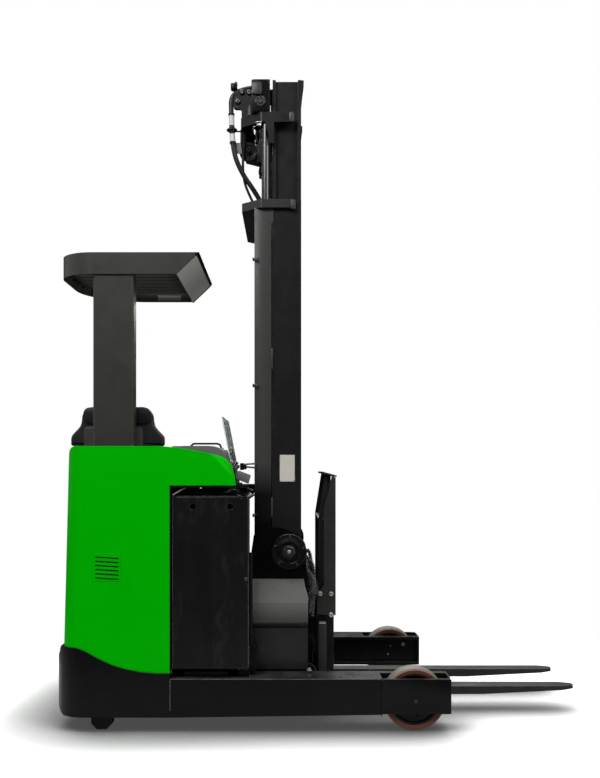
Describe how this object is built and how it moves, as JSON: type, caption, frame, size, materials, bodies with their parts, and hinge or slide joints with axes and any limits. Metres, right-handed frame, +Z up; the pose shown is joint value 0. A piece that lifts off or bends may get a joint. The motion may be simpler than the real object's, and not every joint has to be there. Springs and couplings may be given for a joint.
{
  "type": "reach truck",
  "caption": "Sit-on reach truck: telescopic mast on a sliding carriage between straddle legs, forks with load backrest, seat, overhead guard and battery.",
  "frame": {"origin": "on the floor, at the centre of the footprint box of the parked truck", "axes": "+X along the forks, +Y to the truck's left, +Z up along the mast"},
  "size_m": [2.506, 1.27, 3.111],
  "materials": {
    "green_paint": "satin",
    "black_paint": "satin",
    "grey_paint": "satin",
    "battery_paint": "satin",
    "mast_paint": "satin",
    "steel": "brushed",
    "chrome": "polished",
    "iron": "rough",
    "polyurethane": "matt",
    "drive_rubber": "matt",
    "seat_vinyl": "matt",
    "grey_plastic": "matt",
    "dark_plastic": "matt",
    "floor_rubber": "matt",
    "hose_rubber": "satin",
    "acrylic": "clear"
  },
  "bodies": {
    "chassis": {"straddle_legs": "black_paint", "reach_rails": "black_paint", "rear_skirt": "black_paint", "chassis_frame": "black_paint", "floor_plate": "floor_rubber", "support_feet": "black_paint", "drive_motor": "iron", "body_cover": "green_paint", "hood_cover_left": "green_paint", "battery": "battery_paint", "battery_lead": "hose_rubber", "battery_tray": "black_paint", "battery_hood": "black_paint", "battery_stops": "black_paint", "guard_rim": "grey_paint", "guard_slats": "grey_paint", "guard_pillar": "black_paint", "seat_pedestal": "dark_plastic", "seat_cushion": "seat_vinyl", "seat_back": "seat_vinyl", "console": "grey_plastic", "screen": "acrylic", "screen_brackets": "black_paint", "grab_handle": "black_paint", "steering_console": "dark_plastic", "steering_wheel": "dark_plastic", "pedals": "floor_rubber", "reach_cylinder": "black_paint"},
    "load_wheel_right": {"load_tyre_right": "polyurethane", "load_hub_right": "iron"},
    "load_wheel_left": {"load_tyre_left": "polyurethane", "load_hub_left": "iron"},
    "steer_unit": {"steer_gearbox": "iron"},
    "drive_wheel": {"drive_tyre": "drive_rubber", "drive_hub": "iron"},
    "reach_carriage": {"reach_side_plates": "black_paint", "reach_cross_tube": "black_paint", "reach_covers": "black_paint", "reach_rollers": "steel", "pivot_hubs": "black_paint", "reach_rod": "chrome", "tilt_cylinders": "black_paint"},
    "tilt_rod_pair": {"tilt_rods": "chrome"},
    "mast_outer": {"outer_mast_rails": "mast_paint", "outer_crossmembers": "mast_paint", "lift_cylinders": "mast_paint"},
    "mast_middle": {"middle_mast_rails": "mast_paint", "middle_crossmembers": "mast_paint", "lift_rods": "chrome", "mast_hose": "hose_rubber", "return_hose": "hose_rubber"},
    "mast_inner": {"inner_mast_rails": "mast_paint", "inner_crossmembers": "mast_paint", "free_lift_cylinder": "mast_paint"},
    "free_lift": {"free_lift_rod": "chrome", "chain_sheaves": "steel"},
    "lift_carriage": {"lift_carriage": "mast_paint"},
    "side_shift": {"fork_frame": "black_paint", "forks": "black_paint", "load_backrest": "black_paint"}
  },
  "joints": [
    {"name": "load_wheel_right_spin", "type": "hinge", "parent": "chassis", "child": "load_wheel_right", "pos_m": [0.41, -0.558, 0.1425], "axis": [0, 1, 0], "continuous": true},
    {"name": "load_wheel_left_spin", "type": "hinge", "parent": "chassis", "child": "load_wheel_left", "pos_m": [0.41, 0.558, 0.1425], "axis": [0, 1, 0], "continuous": true},
    {"name": "steering", "type": "hinge", "parent": "chassis", "child": "steer_unit", "pos_m": [-1.036, -0.23, 0.346], "axis": [0, 0, 1], "range_deg": [-90, 90]},
    {"name": "drive_wheel_spin", "type": "hinge", "parent": "steer_unit", "child": "drive_wheel", "pos_m": [-1.036, -0.23, 0.1715], "axis": [0, 1, 0], "continuous": true},
    {"name": "reach", "type": "slide", "parent": "chassis", "child": "reach_carriage", "axis": [1, 0, 0], "range_m": [0, 0.56]},
    {"name": "mast_tilt", "type": "hinge", "parent": "reach_carriage", "child": "mast_outer", "pos_m": [-0.169, 0, 0.816], "axis": [0, 1, 0], "range_deg": [-3, 1]},
    {"name": "tilt_rod_slide", "type": "slide", "parent": "reach_carriage", "child": "tilt_rod_pair", "axis": [1, 0, 0], "range_m": [-0.0095, 0.0275]},
    {"name": "mast_lift", "type": "slide", "parent": "mast_outer", "child": "mast_middle", "axis": [0, 0, 1], "range_m": [0, 2.1]},
    {"name": "inner_mast_lift", "type": "slide", "parent": "mast_middle", "child": "mast_inner", "axis": [0, 0, 1], "range_m": [0, 2.1]},
    {"name": "carriage_lift", "type": "slide", "parent": "mast_inner", "child": "lift_carriage", "axis": [0, 0, 1], "range_m": [-0.05, 2.2]},
    {"name": "free_lift_slide", "type": "slide", "parent": "mast_inner", "child": "free_lift", "axis": [0, 0, 1], "range_m": [-0.025, 1.1]},
    {"name": "side_shift_slide", "type": "slide", "parent": "lift_carriage", "child": "side_shift", "axis": [0, 1, 0], "range_m": [-0.075, 0.075]}
  ],
  "couplings": [
    {"joint": "inner_mast_lift", "follows": "mast_lift", "ratio": 1},
    {"joint": "free_lift_slide", "follows": "carriage_lift", "ratio": 0.5},
    {"joint": "tilt_rod_slide", "follows": "mast_tilt", "m_per_rad": -0.516}
  ]
}
